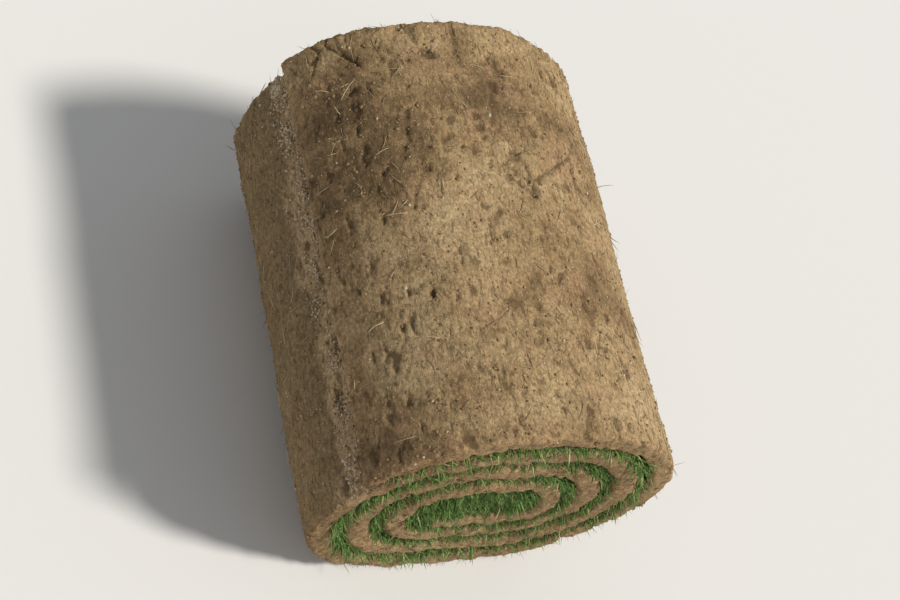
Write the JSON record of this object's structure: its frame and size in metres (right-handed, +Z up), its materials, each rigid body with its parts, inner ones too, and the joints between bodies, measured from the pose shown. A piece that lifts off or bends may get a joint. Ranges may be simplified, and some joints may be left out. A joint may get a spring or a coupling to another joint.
{
  "type": "roll of turf",
  "caption": "Roll of cultivated turf lying on its side: a strip of soil and grass wound grass side in, its turns showing as a spiral at both ends.",
  "frame": {"origin": "on the ground under the middle of the roll, with the roll lying on its side", "axes": "+Y along the roll's axis, which is its longest extent; +Z up; the strip's free end lies on the -X side, above mid height"},
  "size_m": [0.3264, 0.4, 0.2999],
  "materials": {
    "soil": "matte",
    "grass": "matte"
  },
  "bodies": {
    "root": {"turf_roll": "soil"}
  },
  "joints": []
}
